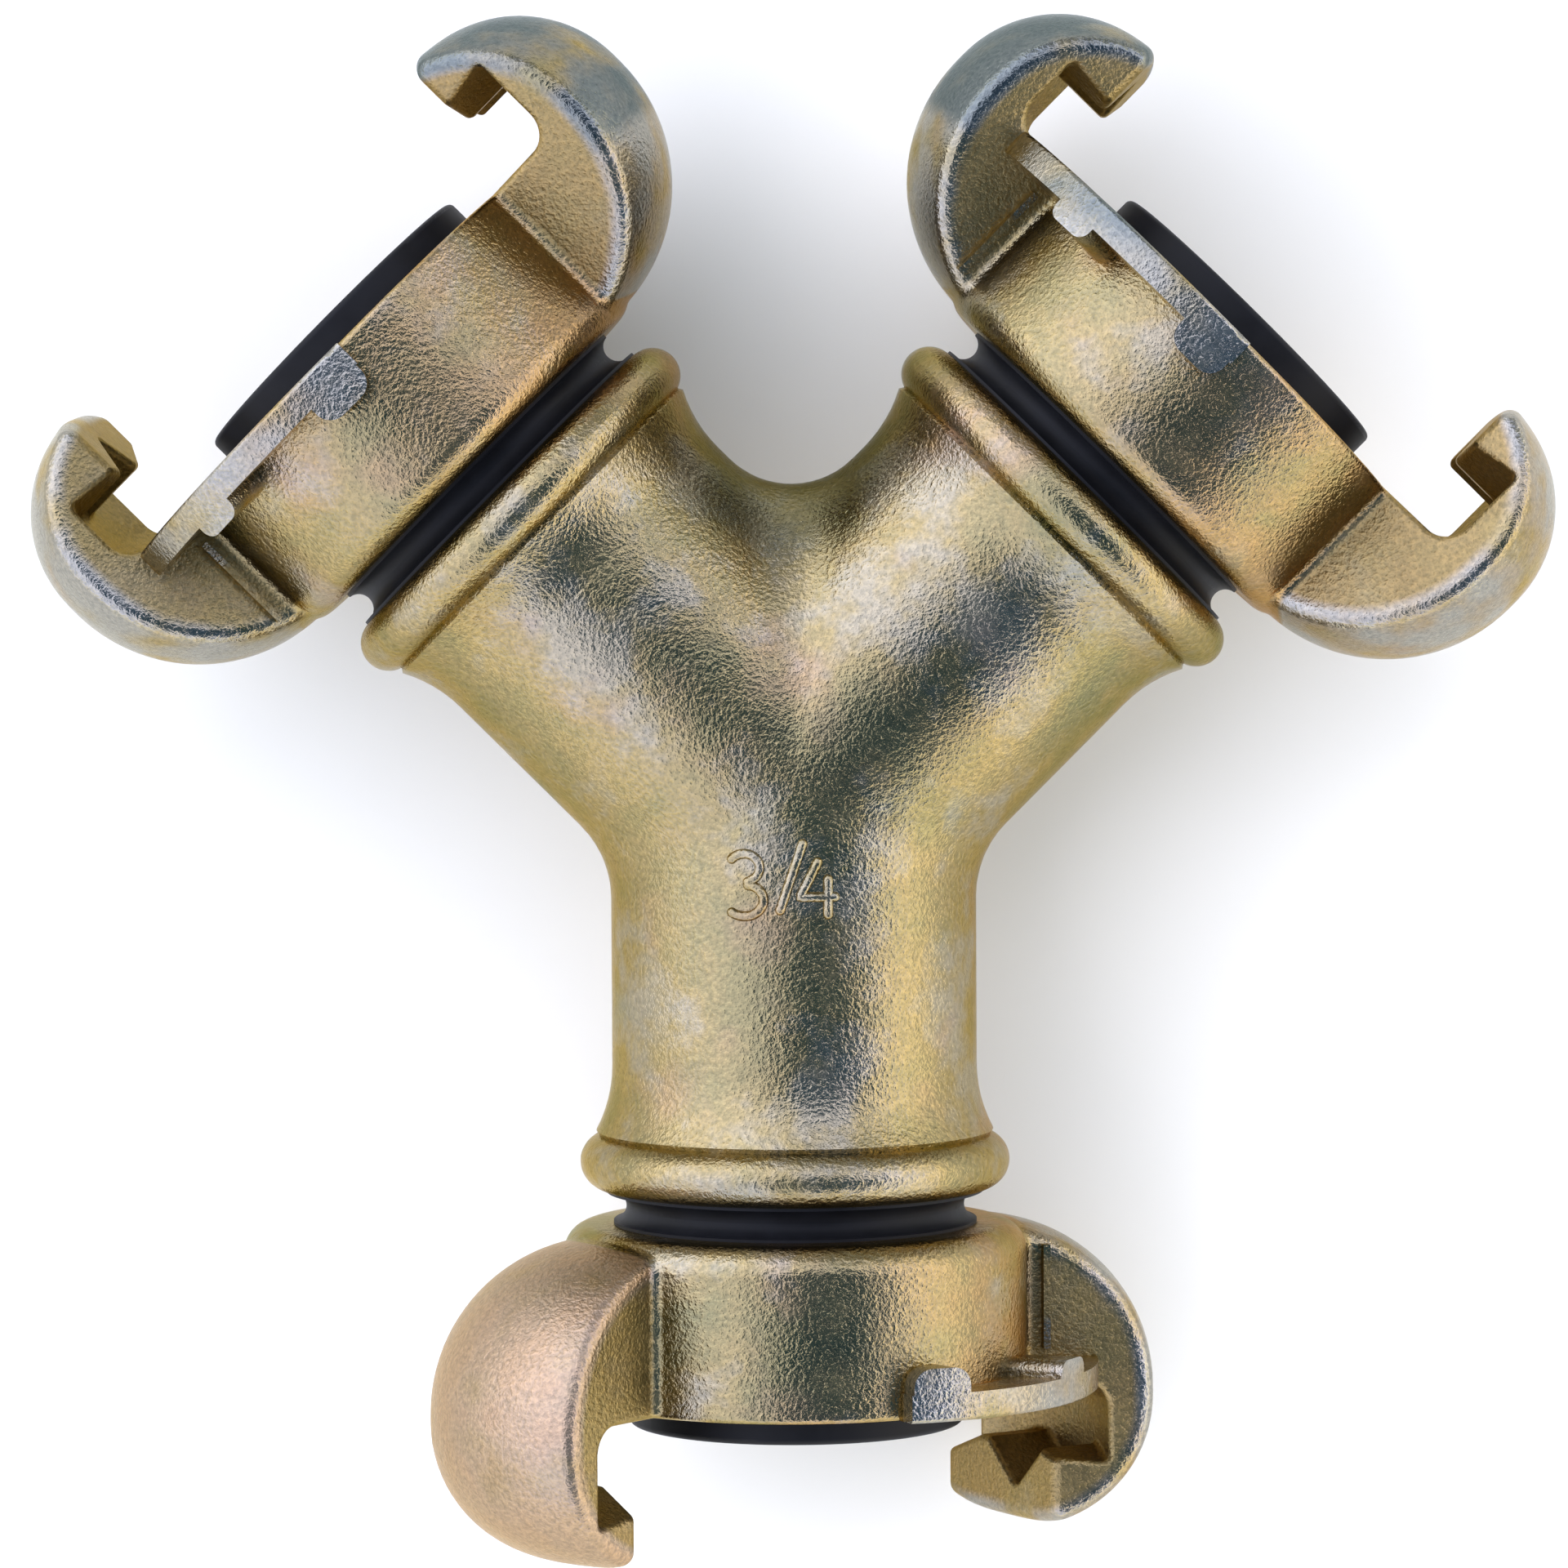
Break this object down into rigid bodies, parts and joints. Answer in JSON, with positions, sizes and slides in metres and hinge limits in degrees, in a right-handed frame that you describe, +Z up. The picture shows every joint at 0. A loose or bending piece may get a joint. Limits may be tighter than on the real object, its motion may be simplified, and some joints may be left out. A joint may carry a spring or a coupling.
{
  "type": "claw coupling hose distributor",
  "caption": "Y-shaped hose distributor: a beaded cast fitting whose threaded sockets each carry a claw coupling with rubber seals.",
  "frame": {"origin": "centre of the overall box at floor level, the part lying as it comes to rest", "axes": "+Z up from the floor, -Y along the stem of the Y, +X towards the right arm"},
  "size_m": [0.131, 0.1318, 0.0501],
  "materials": {
    "zinc_casting": "yellow passivated zinc on a slightly rough casting",
    "rubber": "black, satin"
  },
  "bodies": {
    "root": {"y_fitting": "zinc_casting", "left_coupling": "zinc_casting", "left_face_seal": "rubber", "left_shoulder_seal": "rubber", "right_coupling": "zinc_casting", "right_face_seal": "rubber", "right_shoulder_seal": "rubber", "lower_coupling": "zinc_casting", "lower_face_seal": "rubber", "lower_shoulder_seal": "rubber"}
  },
  "joints": []
}
